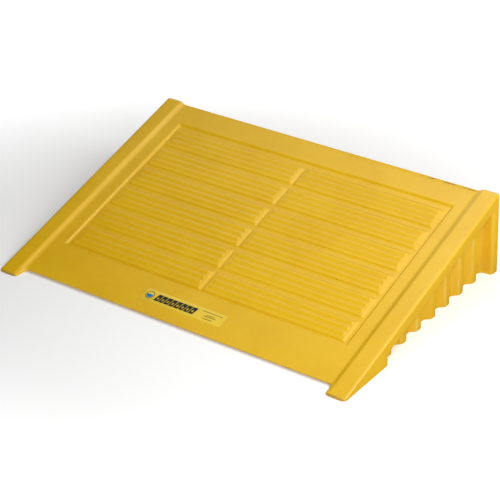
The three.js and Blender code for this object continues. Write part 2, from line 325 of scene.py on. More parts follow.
class Field:
    """A value that varies over a surface. Python expressions on it add their Math nodes."""

    def __init__(self, shader, socket):
        self.shader, self.socket = shader, socket

    def math(self, operation, first, second):
        return self.shader.math(operation, first, second)

    def __add__(self, other):
        return self.math("ADD", self, other)

    def __radd__(self, other):
        return self.math("ADD", other, self)

    def __sub__(self, other):
        return self.math("SUBTRACT", self, other)

    def __rsub__(self, other):
        return self.math("SUBTRACT", other, self)

    def __mul__(self, other):
        return self.math("MULTIPLY", self, other)

    def __rmul__(self, other):
        return self.math("MULTIPLY", other, self)

    def __abs__(self):
        return self.math("ABSOLUTE", self, 0.0)

    def lower(self, other):
        return self.math("MINIMUM", self, other)

    def higher(self, other):
        return self.math("MAXIMUM", self, other)

    def ramp(self, start, end):
        """0 at start and 1 at end, straight between and held beyond."""
        node = self.shader.node("ShaderNodeMapRange", {"interpolation_type": "SMOOTHSTEP"},
                                {"Value": self, "From Min": start, "From Max": end})
        return Field(self.shader, node.outputs[0])

    def within(self, low, high, soft):
        """1 between low and high, 0 outside, with soft edges."""
        return self.ramp(low - soft, low + soft).lower(self.ramp(high + soft, high - soft))


class Shader:
    """One material and the few kinds of node that the finishes are made of."""

    def __init__(self, name):
        self.material = bpy.data.materials.new(name)
        self.material.use_nodes = True
        self.tree = self.material.node_tree
        self.tree.nodes.clear()
        self.place = self.node("ShaderNodeTexCoord").outputs["Object"]
        axes = self.node("ShaderNodeSeparateXYZ", {}, {0: self.place}).outputs
        self.x, self.y, self.z = (Field(self, axis) for axis in axes)

    def node(self, kind, settings=None, inputs=None):
        node = self.tree.nodes.new(kind)
        for key, value in (settings or {}).items():
            setattr(node, key, value)
        for key, value in (inputs or {}).items():
            if isinstance(value, Field):
                value = value.socket
            if isinstance(value, bpy.types.NodeSocket):
                self.tree.links.new(value, node.inputs[key])
            else:
                node.inputs[key].default_value = value
        return node

    def math(self, operation, first, second=0.0):
        node = self.node("ShaderNodeMath", {"operation": operation}, {0: first, 1: second})
        return Field(self, node.outputs[0])

    def length(self, vector):
        node = self.node("ShaderNodeVectorMath", {"operation": "LENGTH"}, {0: vector})
        return Field(self, node.outputs["Value"])

    def stretched(self, scale, shift=(0.0, 0.0, 0.0)):
        node = self.node("ShaderNodeMapping", {"vector_type": "POINT"},
                         {"Vector": self.place, "Scale": scale, "Location": shift})
        return node.outputs[0]

    def noise(self, size, detail=2.0, shift=(0.0, 0.0, 0.0), stretch=(1.0, 1.0, 1.0), rough=0.5):
        """Even noise from 0 to 1, whose clouds are about size metres across."""
        scale = tuple(part / size for part in stretch)
        node = self.node("ShaderNodeTexNoise", {}, {
            "Vector": self.stretched(scale, shift), "Scale": 1.0, "Detail": detail,
            "Roughness": rough})
        return Field(self, node.outputs["Fac"])

    def mix(self, share, first, second):
        node = self.node("ShaderNodeMix", {"data_type": "RGBA", "clamp_factor": True},
                         {0: share, 6: rgba(first), 7: rgba(second)})
        return node.outputs[2]

    def bump(self, height, distance, normal=None):
        inputs = {"Height": height, "Distance": distance, "Strength": 1.0}
        if normal is not None:
            inputs["Normal"] = normal
        return self.node("ShaderNodeBump", {}, inputs).outputs[0]

    def surface(self, **inputs):
        sockets = {key.replace("_", " "): value for key, value in inputs.items()}
        shader = self.node("ShaderNodeBsdfPrincipled", {}, sockets)
        self.node("ShaderNodeOutputMaterial", {}, {"Surface": shader.outputs[0]})
        return self.material


def rgba(colour):
    """A colour socket's value; a link passes through."""
    if isinstance(colour, bpy.types.NodeSocket):
        return colour
    return (*colour, 1.0)


def specks(shader, spacing, size, chance):
    """Small round specks on a loose lattice; chance is the share of cells that hold one."""
    cells = shader.node("ShaderNodeTexVoronoi", {"feature": "F1"},
                        {"Vector": shader.stretched((1 / spacing,) * 3), "Scale": 1.0})
    distance = Field(shader, cells.outputs["Distance"])
    parts = shader.node("ShaderNodeSeparateColor", {}, {0: cells.outputs["Color"]}).outputs
    chosen = Field(shader, parts[0]).ramp(1 - chance, 1 - chance * 0.9)
    reach = Field(shader, parts[1]) * (size / spacing) + 0.3 * size / spacing
    return (reach - distance).ramp(0.0, 0.25 * size / spacing) * chosen


def polyethylene():
    """Rotomoulded polyethylene: cloudy colour, fine orange peel, specks, scuffed tips, and a painted
    sheen on the wall crests.
    """
    if "ramp_polyethylene" in bpy.data.materials:
        return bpy.data.materials["ramp_polyethylene"]
    finish = bpy.context.scene.ramp_finish
    shader = Shader("ramp_polyethylene")
    clouds = shader.noise(0.16, detail=3.0)
    mottle = shader.noise(0.022, detail=4.0, shift=(3.1, 1.7, 0.4), rough=0.6)
    grain = shader.noise(0.0035, detail=2.0, shift=(7.7, 0.3, 2.2))
    colour = shader.mix(clouds.ramp(0.38, 0.62), finish.plastic_deep, finish.plastic)
    colour = shader.mix(mottle.ramp(0.42, 0.74) * 0.5, colour, finish.plastic_pale)
    colour = shader.mix(grain.ramp(0.3, 0.75) * 0.18, colour, finish.plastic_deep)

    # Specks of dirt, thinly over all, and grime along the deck's back lip at the right
    dirt = specks(shader, 0.045, 0.0016, 0.30) * 0.55
    along = shader.x.within(*GRIME_ALONG, 12 * MM)
    groove = DECK_FRONT + BACK - GROOVE_INSET
    behind = shader.y.within(groove - 2 * MM, groove + 1.5 * MM, 1 * MM)
    patchy = shader.noise(0.03, detail=3.0, shift=(1.3, 0, 0)).ramp(0.36, 0.52)
    above = shader.z.ramp(*(deck_height(BACK) - depth for depth in GRIME_DEPTH))
    dirt = dirt.higher(along * behind * above * patchy * 0.8)

    # Scuffs on the tips of the tongues, where they drag on the floor
    tip = shader.y.ramp(*(DECK_FRONT + TONGUE_TIP + reach for reach in SCUFF_REACH))
    scrape = shader.noise(0.012, detail=4.0, shift=(0.6, 2.4, 0), stretch=(0.4, 1.4, 1.4))
    dirt = dirt.higher(tip * scrape.ramp(0.28, 0.52) * 0.55)
    colour = shader.mix(dirt, colour, finish.dirt)

    # Painted highlight: pale sheen streaks painted down the corners of the side walls' crests, where
    # the rounded corners catch the light
    y = shader.y - DECK_FRONT
    depth = SLOPE * y + (FRONT_HEIGHT + RAIL_RISE) - shader.z
    inset = HALF - (abs(shader.x) - depth * DRAFT)
    crest = inset.within(CREST_INSET - 2 * MM, CREST_INSET + 4 * MM, 1.5 * MM)
    crest = crest * depth.ramp(BAND_DEPTH + RAIL_RISE, BAND_DEPTH + RAIL_RISE + 6 * MM)
    from_middle = shader.math("PINGPONG", y - (LAST_CREST + CREST_FLAT / 2), WAVE_PITCH / 2)
    corner = from_middle.within(CREST_FLAT / 2 - SHEEN_HALF, CREST_FLAT / 2 + SHEEN_HALF, 1.5 * MM)
    crest_sheen = shader.noise(0.008, detail=3.0, shift=(0.2, 4.4, 0), stretch=(1.0, 1.0, 0.12))
    colour = shader.mix(crest * corner * crest_sheen.ramp(0.40, 0.60) * 0.55, colour, finish.crest_sheen)

    smear = shader.noise(0.06, detail=3.0, shift=(5.0, 5.0, 0), stretch=(1.0, 0.45, 1.0))
    roughness = (finish.roughness - 0.05) + smear * 0.12 + dirt * 0.25

    swell = shader.noise(0.11, detail=1.0, shift=(9.0, 0.2, 0.7))
    peel = shader.noise(0.0045, detail=2.0, shift=(2.0, 8.0, 1.0))
    normal = shader.bump(swell, 0.9 * MM)
    normal = shader.bump(peel, finish.peel, normal)
    return shader.surface(Base_Color=colour, Roughness=roughness, Normal=normal,
                          Specular_IOR_Level=0.55)


def label_film():
    """Glossy printed film: a plain disc, a row of slanted blocks and a few thin lines."""
    finish = bpy.context.scene.ramp_finish
    shader = Shader("ramp_label_film")
    across = shader.x
    up = shader.y - (DECK_FRONT + (LABEL_FRONT + LABEL_BACK) / 2)
    film = shader.mix(shader.noise(0.03, detail=3.0).ramp(0.35, 0.7) * 0.5, finish.film,
                      tuple(part * 0.93 for part in finish.film))

    offset = shader.node("ShaderNodeCombineXYZ", {}, {
        0: across - DISC_PLACE[0], 1: up - DISC_PLACE[1]}).outputs[0]
    from_disc = shader.length(offset)
    ring = from_disc.within(*RING, PRINT_EDGE)
    badge = from_disc.ramp(DISC_RADIUS + PRINT_EDGE, DISC_RADIUS - PRINT_EDGE)
    badge = badge * up.within(*DISC_BAND, PRINT_EDGE)

    # Blocks: slanted dark bars with narrow gaps between them and a hole in the middle of each
    slanted = across - up * BLOCK_SLANT
    block = shader.math("PINGPONG", slanted - BLOCK_START, BLOCK_HALF_PITCH)
    gaps = block.ramp(*BLOCK_GAP)
    solid = block.ramp(*(BLOCK_HALF_PITCH - half for half in BLOCK_HOLE))
    bar = slanted.within(BLOCK_START, BLOCK_START + 2 * BLOCK_COUNT * BLOCK_HALF_PITCH, PRINT_EDGE)
    bar = bar * up.within(-BLOCK_RISE, BLOCK_RISE, PRINT_EDGE)
    bar = bar * gaps * solid.higher(1.0 - up.within(*BLOCK_HOLE_BAND, PRINT_EDGE))

    lines = up * 0.0
    for middle, start, end in LINES:
        row = up.within(middle - LINE_RISE, middle + LINE_RISE, PRINT_EDGE)
        lines = lines.higher(row * across.within(start, end, PRINT_EDGE))
    faded = shader.noise(0.004, detail=2.0, shift=(4.0, 0, 0)).ramp(0.25, 0.5)
    colour = shader.mix(badge, film, finish.blue)
    colour = shader.mix(bar.higher(ring), colour, finish.ink)
    colour = shader.mix(lines * (faded * 0.4 + 0.4), colour, finish.ink)
    wear = shader.noise(0.018, detail=3.0, shift=(0, 3.0, 0))
    normal = shader.bump(shader.noise(0.02, detail=1.0), 0.12 * MM)
    return shader.surface(Base_Color=colour, Roughness=0.24 + wear * 0.16, Normal=normal,
                          Coat_Weight=0.1, Coat_Roughness=0.12)


# ---- Top skin: deck, rails, tongues and back rim in one sheet ------------------------------

def rail_profile():
    """(x, level height) points of a rail's hollow inner rise, from the deck to its flat top."""
    middle = (RAIL_FOOT + RAIL_WAIST, RAIL_WAIST_SHARE * RAIL_RISE)
    hollow = quad_curve((RAIL_FOOT, 0.0), (RAIL_FOOT + RAIL_HOLLOW, 0.0), middle, 6)
    shoulder = quad_curve(middle, (RAIL_FOOT + RAIL_SHOULDER, RAIL_RISE), (RAIL_FLAT, RAIL_RISE), 6)
    return hollow + shoulder[1:]


RAIL_PROFILE = rail_profile()


def ribs(distance):
    """Ribs with long front slopes and short back ones, from 0 at their feet to 1 on top."""
    t = (distance - RIB_START) / RIB_PITCH
    if not 0.0 < t < RIBS_PER_PAD:
        return 0.0
    return min(rise(t % 1.0, 0.0, RIB_CREST[0]), rise(t % 1.0, 1.0, RIB_CREST[1]))


def plateau(value, low, high, step, high_step=None):
    """1 on the flat between low and high, falling over one step inside each end."""
    return min(rise(value, low, low + step), rise(value, high, high - (high_step or step)))


def pad_end_steps(side):
    """Widths of a pad's inner and outer end slopes, at the right (1) or the left (-1)."""
    return (PAD_LEFT_STEP, PAD_RIGHT_STEP) if side > 0 else (PAD_RIGHT_STEP, PAD_LEFT_STEP)


def tread(x, y, sizes):
    """Level height of the tread field: a sunk floor with raised pads and ribs on them."""
    across = abs(x - FIELD_MIDDLE)
    field = min(rise(across, FIELD_HALF, FIELD_HALF - FIELD_STEP),
                plateau(y, FIELD_FRONT, FIELD_BACK, FIELD_STEP))
    height = -FIELD_DEPTH * field
    if field < 1.0:
        return height
    row = min(max(int((y - PAD_FIRST) / PAD_PITCH), 0), PAD_ROWS - 1)
    front = PAD_FIRST + row * PAD_PITCH
    inner_step, outer_step = pad_end_steps(x - FIELD_MIDDLE)
    pad = min(plateau(across, PAD_INNER, PAD_OUTER, inner_step, outer_step),
              plateau(y, front, front + PAD_LENGTH, PAD_STEP, PAD_BACK_STEP))
    rib = ribs(y - front) * plateau(across, PAD_INNER + RIB_END, PAD_OUTER - RIB_END, RIB_END_STEP)
    return height + pad * sizes.pad_rise + rib * sizes.rib_rise


def top_height(x, y, sizes):
    """Height of the upper surface above the floor."""
    rail = look_up(abs(x), RAIL_PROFILE)
    groove = max(1 - abs(BACK - GROOVE_INSET - y) / GROOVE_HALF, 0.0) * (1 - rail / RAIL_RISE)
    return deck_height(y) + tread(x, y, sizes) + rail - groove * sizes.groove_depth


SIDE_LINE = HALF - SIDE_ROUND            # where the rounding of the outer edges begins
BACK_LINE = BACK - BACK_ROUND
TONGUE_LINE = TONGUE_TIP + TIP_EDGE_ROUND


def corner_arc(distance, radius):
    """How far a round corner has fallen back, at this distance from the side of its square."""
    reach = radius - min(max(distance, 0.0), radius)
    return radius - math.sqrt(max(radius ** 2 - reach ** 2, 0.0))


def front_line(x):
    """Front edge of the top face: straight deck, hollow turn, then the tongue and its corners."""
    across = abs(x)
    if across <= NOTCH_START:
        return LIP_ROUND
    if across <= TONGUE_SIDE:
        t = (across - NOTCH_START) / (TONGUE_SIDE - NOTCH_START)
        return blend(LIP_ROUND, NOTCH_END, 1 - math.sqrt(1 - t ** NOTCH_POWER))
    inner = corner_arc(across - TONGUE_SIDE, TIP_CORNER)
    outer = corner_arc(SIDE_LINE - across, TIP_OUTER_CORNER)
    return TONGUE_LINE + inner + outer


def back_line(x):
    return BACK_LINE - corner_arc(SIDE_LINE - abs(x), FACE_CORNER)


def field_columns(side, hold):
    """Distances from the field's middle at which one half of the tread needs grid lines."""
    inner_step, outer_step = pad_end_steps(side)
    inner_rib, outer_rib = PAD_INNER + RIB_END, PAD_OUTER - RIB_END
    columns = step_stations(PAD_INNER, PAD_INNER + inner_step, hold, 3)
    columns += step_stations(inner_rib, inner_rib + RIB_END_STEP, hold, 2)
    columns += step_stations(outer_rib - RIB_END_STEP, outer_rib, hold, 2)
    columns += step_stations(PAD_OUTER - outer_step, PAD_OUTER, hold, 3)
    return columns + step_stations(FIELD_HALF - FIELD_STEP, FIELD_HALF, hold, 3)


def column_stations(sizes):
    rail = [NOTCH_START, 0.5 * (NOTCH_START + RAIL_FOOT)] + [x for x, _ in RAIL_PROFILE]
    turn = [(i / 5) ** 2 for i in range(6)]         # closer together where a corner is steepest
    rail += [TONGUE_SIDE + TIP_CORNER * t for t in turn]
    rail += [SIDE_LINE - TIP_OUTER_CORNER * t for t in turn]
    rail += [SIDE_LINE - FACE_CORNER * t for t in turn[1:]]
    columns = []
    for side in (-1, 1):
        columns += [FIELD_MIDDLE + side * x for x in field_columns(side, sizes.hold)]
        columns += [side * x for x in rail]
    return spaced(columns, 0.03 * MM)


def row_stations(sizes):
    hold = sizes.hold
    rows = [LIP_ROUND, *FRONT_ROWS]
    rows += step_stations(FIELD_FRONT, FIELD_FRONT + FIELD_STEP, hold, 3)
    for row in range(PAD_ROWS):
        front = PAD_FIRST + row * PAD_PITCH
        rows += step_stations(front, front + PAD_STEP, hold, 3)
        rows += [front + RIB_START + RIB_PITCH * (rib + place)
                 for rib in range(RIBS_PER_PAD) for place in RIB_STATIONS]
        rows += [front + RIB_START + RIB_PITCH * RIBS_PER_PAD]
        rows += step_stations(front + PAD_LENGTH - PAD_BACK_STEP, front + PAD_LENGTH, hold, 3)
    rows += step_stations(FIELD_BACK - FIELD_STEP, FIELD_BACK, hold, 3)
    rows += [BACK_ROW, POST_FRONT - 4 * MM, POST_FRONT, POST_FRONT + 8 * MM]
    rows += [BACK - GROOVE_INSET + step * MM for step in (-6, -2.5, -1.2, 0, 1.2, 2.5)]
    rows += [BACK_LINE]
    return spaced(rows, 0.5 * MM)


FRONT_FADE = [1.0, 1.0, 0.75, 0.4, 0.15]      # share of the front line's shape that each row takes
BACK_FADE = [1.0, 0.5, 0.2]                   # the same from the last row forwards


def plan_place(x, row, rows):
    y = rows[row]
    if row < len(FRONT_FADE):
        y += (front_line(x) - LIP_ROUND) * FRONT_FADE[row]
    last = len(rows) - 1 - row
    if last < len(BACK_FADE):
        y += (back_line(x) - BACK_LINE) * BACK_FADE[last]
    return y


def flush_share(x, y):
    """1 where the wall below stands flush with the flange, 0 where the flange overhangs it."""
    if abs(x) < SIDE_LINE - BACK_CORNER and y > POST_FRONT:
        return rise(abs(x), POST_RETURN - 6 * MM, POST_RETURN)
    gusset = rise(y, GUSSET_END + 8 * MM, GUSSET_END)
    post = rise(y, POST_FRONT - 10 * MM, POST_FRONT)
    return max(gusset, post)


def ledge_plan(x, y):
    """Inner end of the ledge below a point of the top face's outline."""
    def drawn_in(value, start, limit, end):
        share = (value - start) / (limit - start)
        return value if value < start else blend(start, end, min(share, 1.0))
    side = math.copysign(1.0, x)
    across = drawn_in(abs(x), LEDGE_TURN_X, SIDE_LINE, LEDGE_X)
    along = drawn_in(y, LEDGE_TURN_Y, BACK_LINE, LEDGE_Y)
    return side * blend(abs(x) - 1 * MM, across, rise(y, *LEDGE_FRONT)), along


def lean_share(x):
    """How much of the walls' outward lean a place takes, from side to side of the ramp."""
    return max(-1.0, min(x / POST_RETURN, 1.0))


def edge_reach(x, y, out):
    """Plan offset from the top face's outline to the outer face, and the rounding's drop."""
    across = abs(x)
    if across > SIDE_LINE - FACE_CORNER - MM / 10 and y > BACK_LINE - FACE_CORNER - MM / 10:
        centre = Vector((math.copysign(HALF - BACK_CORNER, x), BACK - BACK_CORNER))
        return centre + out.xy * BACK_CORNER - Vector((x, y)), BACK_ROUND
    sideways, forward, backward = out.x ** 2, min(out.y, 0.0) ** 2, max(out.y, 0.0) ** 2
    side_reach, side_drop = SIDE_ROUND, blend(TIP_EDGE_ROUND, SIDE_DROP, rise(y, 0.0, 200 * MM))
    if out.x * x < 0:
        side_reach = side_drop = TONGUE_REACH
    reach = side_reach * sideways + TIP_EDGE_ROUND * forward + BACK_ROUND * backward
    drop = side_drop * sideways + TIP_EDGE_ROUND * forward + BACK_ROUND * backward
    return out.xy * reach, drop


def edge_path(x, y, out, sizes):
    """Points that the skin's edge passes, from the top face's outline round to the underside."""
    top = top_height(x, y, sizes)
    rail_top = deck_height(y) + RAIL_RISE
    under = max(top - sizes.skin, LEAST_UNDERSIDE)
    reach, drop = edge_reach(x, y, out)
    base = max(deck_height(y + max(reach.y, 0.0)) - BAND_DEPTH, 0.0)
    drop = min(drop, (top - base) * (0.8 if out.x * x < 0 else 0.6))
    soft = blend(sizes.flange_soft, FEATHER, flush_share(x, y)) if base > 0.0 else 0.8 * MM
    high, low = top - drop, base + soft
    hold = min(1.5 * MM / (high - low), 0.4)

    def outer(share, z, inset=0.0):
        lean = lean_share(x) * DRAFT * (rail_top - z) * share
        return (x + reach.x * share - out.x * inset + lean, y + reach.y * share - out.y * inset, z)

    points = []
    for i in range(1, 6):
        angle = i * math.pi / 10
        points.append(outer(math.sin(angle), top - drop * (1 - math.cos(angle))))
    points += [outer(1.0, z) for z in (blend(high, low, hold), blend(low, high, hold), low)]
    points += [outer(1.0, base + 0.3 * soft, 0.3 * soft), outer(1.0, base, soft)]
    ledge_x, ledge_y = ledge_plan(x, y)
    shelf = min(base + sizes.skin, blend(base, under, 0.66))
    points += [(ledge_x, ledge_y, base), (ledge_x, ledge_y, shelf)]
    wall = min(sizes.skin / reach.length, 1.0)
    inside = outer(1.0, shelf)
    points += [(blend(inside[0], x, wall), blend(inside[1], y, wall), shelf), (x, y, under)]

    # Along the deck's front the skin only rolls over into its own underside
    share = 1.0 if y > ROLL_END else rise(abs(x), NOTCH_START, TONGUE_SIDE - 2 * MM)
    if share == 1.0:
        return points
    rolled = []
    for i in range(1, len(points) + 1):
        angle = math.pi * i / len(points)
        roll = LIP_ROUND * math.sin(angle)
        height = top - (top - under) / 2 * (1 - math.cos(angle))
        rolled.append((x + out.x * roll, y + out.y * roll, height))
    return [tuple(blend(a, b, share) for a, b in zip(first, second))
            for first, second in zip(rolled, points)]


def outline_normals(bm):
    """Outward plan direction at each vertex of the sheet's open edge."""
    normals = {}
    for vert in bm.verts:
        edges = [edge for edge in vert.link_edges if edge.is_boundary]
        if len(edges) != 2:
            continue
        total = Vector((0.0, 0.0))
        for edge in edges:
            along = (edge.verts[1].co - edge.verts[0].co).xy.normalized()
            across = Vector((along.y, -along.x))
            face = edge.link_faces[0].calc_center_median().xy - edge.verts[0].co.xy
            total += -across if across.dot(face) > 0 else across
        normals[vert] = total.normalized()
    return normals


def build_top_skin(sizes):
    columns, rows = column_stations(sizes), row_stations(sizes)
    bm = bmesh.new()
    bmesh.ops.create_grid(bm, x_segments=len(columns) - 1, y_segments=len(rows) - 1, size=0.5)
    for vert in bm.verts:
        column = round((vert.co.x + 0.5) * (len(columns) - 1))
        row = round((vert.co.y + 0.5) * (len(rows) - 1))
        x = columns[column]
        y = plan_place(x, row, rows)
        vert.co = (x, y, 0.0)

    home = bm.verts.layers.float_vector.new("home")
    out = bm.verts.layers.float_vector.new("out")
    for vert, normal in outline_normals(bm).items():
        vert[home] = vert.co
        vert[out] = (normal.x, normal.y, 0.0)
    for vert in bm.verts:
        vert.co.z = top_height(vert.co.x, vert.co.y, sizes)

    underside = bmesh.ops.duplicate(bm, geom=bm.faces[:])["geom"]
    lower = {item for item in underside if isinstance(item, bmesh.types.BMVert)}
    for vert in lower:
        vert.co.z = max(vert.co.z - sizes.skin, LEAST_UNDERSIDE)
    ring = [edge for edge in bm.edges if edge.is_boundary and edge.verts[0] not in lower]

    def place_key(vert):
        return round(vert[home].x, 6), round(vert[home].y, 6)

    paths = {}
    for vert in {vert for edge in ring for vert in edge.verts}:
        paths[place_key(vert)] = edge_path(vert[home].x, vert[home].y, Vector(vert[out]), sizes)
    for step in range(len(paths[place_key(ring[0].verts[0])])):
        grown = bmesh.ops.extrude_edge_only(bm, edges=ring)["geom"]
        for vert in (item for item in grown if isinstance(item, bmesh.types.BMVert)):
            vert.co = paths[place_key(vert)][step]
        ring = [item for item in grown if isinstance(item, bmesh.types.BMEdge) and item.is_boundary]
    bmesh.ops.remove_doubles(bm, verts=bm.verts[:], dist=0.002 * MM)
    bmesh.ops.recalc_face_normals(bm, faces=bm.faces[:])
    return bm


# ---- Walls --------------------------------------------------------------------------------

def wave_corners(first, count, crest_inset):
    """(inset, place) corners of a row of crests and the troughs between them."""
    corners = []
    for i in range(count):
        front = first + i * WAVE_PITCH
        back = front + CREST_FLAT
        corners += [(crest_inset + WAVE_DEPTH, front - FLANK), (crest_inset, front)]
        corners += [(crest_inset, back), (crest_inset + WAVE_DEPTH, back + FLANK)]
    return corners


def build_wall(plan, sizes):
    """A corrugated sheet that stands on the floor and reaches up to the ledge.

    plan is its outer face's corners as (x, y, rounding).
    """
    bm = bmesh.new()
    corners = [bm.verts.new((x, y, 0.0)) for x, y, _ in plan]
    edges = [bm.edges.new(pair) for pair in zip(corners, corners[1:])]
    grown = bmesh.ops.extrude_edge_only(bm, edges=edges)["geom"]
    upper = [item for item in grown if isinstance(item, bmesh.types.BMVert)]
    bmesh.ops.translate(bm, verts=upper, vec=(0.0, 0.0, 1.0))
    for rounding in sorted({corner[2] for corner in plan}):
        places = [Vector(corner[:2]) for corner in plan[1:-1] if corner[2] == rounding]
        upright = [edge for edge in bm.edges if abs(edge.verts[0].co.z - edge.verts[1].co.z) > 0.5
                   and any((edge.verts[0].co.xy - place).length < MM / 10 for place in places)]
        bmesh.ops.bevel(bm, geom=upright, offset=rounding, segments=6, profile=0.5,
                        affect="EDGES", material=-1, clamp_overlap=True)
    bmesh.ops.remove_doubles(bm, verts=bm.verts[:], dist=0.01 * MM)
    upright = [edge for edge in bm.edges if abs(edge.verts[0].co.z - edge.verts[1].co.z) > 0.5]
    bmesh.ops.subdivide_edges(bm, edges=upright, cuts=3, use_grid_fill=True)
    for vert in bm.verts:
        x, y, share = vert.co
        top = deck_height(y) - BAND_DEPTH
        inset = max(HALF - abs(x), 0.0)
        if y < POST_FRONT and inset > 1 * MM or abs(x) < POST_RETURN and BACK - y > 1 * MM:
            top += WALL_TUCK
        z = top * share
        vert.co = (x + lean_share(x) * DRAFT * (deck_height(y) + RAIL_RISE - z), y, z)
    bmesh.ops.recalc_face_normals(bm, faces=bm.faces[:])
    outward = sum((face.normal.dot(face.calc_center_median() - Vector((0.0, BACK / 2, 0.0)))
                   * face.calc_area() for face in bm.faces), 0.0)
    if outward < 0:
        bmesh.ops.reverse_faces(bm, faces=bm.faces[:])
    bmesh.ops.solidify(bm, geom=bm.faces[:], thickness=sizes.skin)
    for vert in bm.verts:
        if vert.co.z < 1 * MM:
            vert.co.z = 0.0
    feet = [edge for edge in bm.edges
            if max(vert.co.z for vert in edge.verts) < 0.5 * MM and edge.calc_face_angle(0.0) > 1.0]
    bmesh.ops.bevel(bm, geom=feet, offset=FOOT_ROUND, segments=2, profile=0.5, affect="EDGES",
                    material=-1, clamp_overlap=True)
    bmesh.ops.recalc_face_normals(bm, faces=bm.faces[:])
    return bm


def side_plan(side, sizes):
    first = LAST_CREST - (CREST_COUNT - 1) * WAVE_PITCH
    gusset = [(0.0, GUSSET_START), (0.0, GUSSET_END), (CREST_INSET, GUSSET_END + FLANK)]
    waves = wave_corners(first, CREST_COUNT, CREST_INSET)[2:]
    insets = [(*corner, sizes.wall_round) for corner in gusset + waves]
    insets += [(TROUGH_INSET, POST_FRONT - POST_FLANK, POST_ROOT_ROUND),
               (0.0, POST_FRONT, POST_ROUND), (0.0, BACK, BACK_CORNER),
               (HALF - POST_RETURN, BACK, BACK_CORNER)]
    return [(side * (HALF - inset), y, rounding) for inset, y, rounding in insets]


def back_plan(sizes):
    count = int((2 * POST_RETURN - CREST_FLAT) / WAVE_PITCH)
    first = -((count - 1) * WAVE_PITCH + CREST_FLAT) / 2
    insets = [(0.0, -POST_RETURN), (WAVE_DEPTH, FLANK - POST_RETURN),
              *wave_corners(first, count, 0.0),
              (WAVE_DEPTH, POST_RETURN - FLANK), (0.0, POST_RETURN)]
    return [(x, BACK - inset, sizes.wall_round) for inset, x in insets]


# ---- Support plates and label --------------------------------------------------------------

def build_support(x, sizes):
    """A plate under the deck, from the floor to the underside of the skin."""
    def below(y, drop):
        return (y, deck_height(y) - drop)

    tray_front, tray_back = FIELD_FRONT - TRAY_MARGIN, FIELD_BACK + TRAY_MARGIN
    tray_drop = FIELD_DEPTH + TRAY_MARGIN / 2
    outline = [(SUPPORT_FRONT, 0.0), (SUPPORT_BACK, 0.0), below(SUPPORT_BACK, sizes.skin),
               below(tray_back, sizes.skin), below(tray_back, tray_drop),
               below(tray_front, tray_drop), below(tray_front, sizes.skin),
               below(SUPPORT_FRONT, sizes.skin)]
    bm = bmesh.new()
    start = x - sizes.support_thickness / 2
    face = bm.faces.new([bm.verts.new((start, y, z)) for y, z in outline])
    grown = bmesh.ops.extrude_face_region(bm, geom=[face])["geom"]
    verts = [item for item in grown if isinstance(item, bmesh.types.BMVert)]
    bmesh.ops.translate(bm, verts=verts, vec=(sizes.support_thickness, 0.0, 0.0))
    bmesh.ops.recalc_face_normals(bm, faces=bm.faces[:])
    bmesh.ops.bevel(bm, geom=bm.edges[:], offset=1.5 * MM, segments=2, profile=0.5,
                    affect="EDGES", material=-1, clamp_overlap=True)
    return bm


def build_label(sizes):
    """A thin film with round corners, lying on the deck in front of the tread field."""
    bm = bmesh.new()
    bmesh.ops.create_grid(bm, x_segments=1, y_segments=1, size=0.5)
    middle, length = (LABEL_FRONT + LABEL_BACK) / 2, LABEL_BACK - LABEL_FRONT
    bmesh.ops.scale(bm, verts=bm.verts[:], vec=(2 * LABEL_HALF_WIDTH, length, 1.0))
    bmesh.ops.translate(bm, verts=bm.verts[:], vec=(0.0, middle, 0.0))
    bmesh.ops.bevel(bm, geom=bm.verts[:], offset=LABEL_CORNER, segments=5, profile=0.5,
                    affect="VERTICES", material=-1)
    grown = bmesh.ops.extrude_face_region(bm, geom=bm.faces[:])["geom"]
    upper = [item for item in grown if isinstance(item, bmesh.types.BMVert)]
    bmesh.ops.translate(bm, verts=upper, vec=(0.0, 0.0, sizes.label_thickness))
    bmesh.ops.recalc_face_normals(bm, faces=bm.faces[:])
    rim = [edge for edge in bm.edges if min(vert.co.z for vert in edge.verts) > 0.2 * MM]
    bmesh.ops.bevel(bm, geom=rim, offset=0.12 * MM, segments=1, profile=0.5, affect="EDGES",
                    material=-1)
    for vert in bm.verts:
        vert.co.z += deck_height(vert.co.y) + LABEL_GAP
    return bm


# ---- Operators ----------------------------------------------------------------------------

class RAMP_OT_top_skin(bpy.types.Operator):
    """Moulds the deck, its tread, the rails with their tongues, and the back rim"""
    bl_idname = "ramp.top_skin"
    bl_label = "Top Skin"

    def execute(self, context):
        bm = build_top_skin(context.scene.ramp_sizes)
        finish_piece(bm, "top_skin", polyethylene(),
                     ["deck_panel", "back_rim", "left_rail", "right_rail"])
        return {"FINISHED"}


class RAMP_OT_side_skins(bpy.types.Operator):
    """Moulds the two corrugated side walls with their gussets and corner posts"""
    bl_idname = "ramp.side_skins"
    bl_label = "Side Skins"

    def execute(self, context):
        for name, side in (("left", -1), ("right", 1)):
            sizes = context.scene.ramp_sizes
            bm = build_wall(side_plan(side, sizes), sizes)
            finish_piece(bm, f"{name}_side_skin", polyethylene(),
                         [f"{name}_front_gusset", f"{name}_side_wall", f"{name}_corner_post"])
        return {"FINISHED"}


class RAMP_OT_back_wall(bpy.types.Operator):
    """Moulds the corrugated wall that stands against the pallet"""
    bl_idname = "ramp.back_wall"
    bl_label = "Back Wall"

    def execute(self, context):
        sizes = context.scene.ramp_sizes
        bm = build_wall(back_plan(sizes), sizes)
        finish_piece(bm, "back_wall_skin", polyethylene(), ["back_wall"])
        return {"FINISHED"}


class RAMP_OT_supports(bpy.types.Operator):
    """Makes the plates that carry the deck from below"""
    bl_idname = "ramp.supports"
    bl_label = "Support Plates"

    def execute(self, context):
        for i, x in enumerate(SUPPORT_XS, 1):
            bm = build_support(x, context.scene.ramp_sizes)
            finish_piece(bm, f"support_plate_{i}", polyethylene(), [f"support_rib_{i}"])
        return {"FINISHED"}


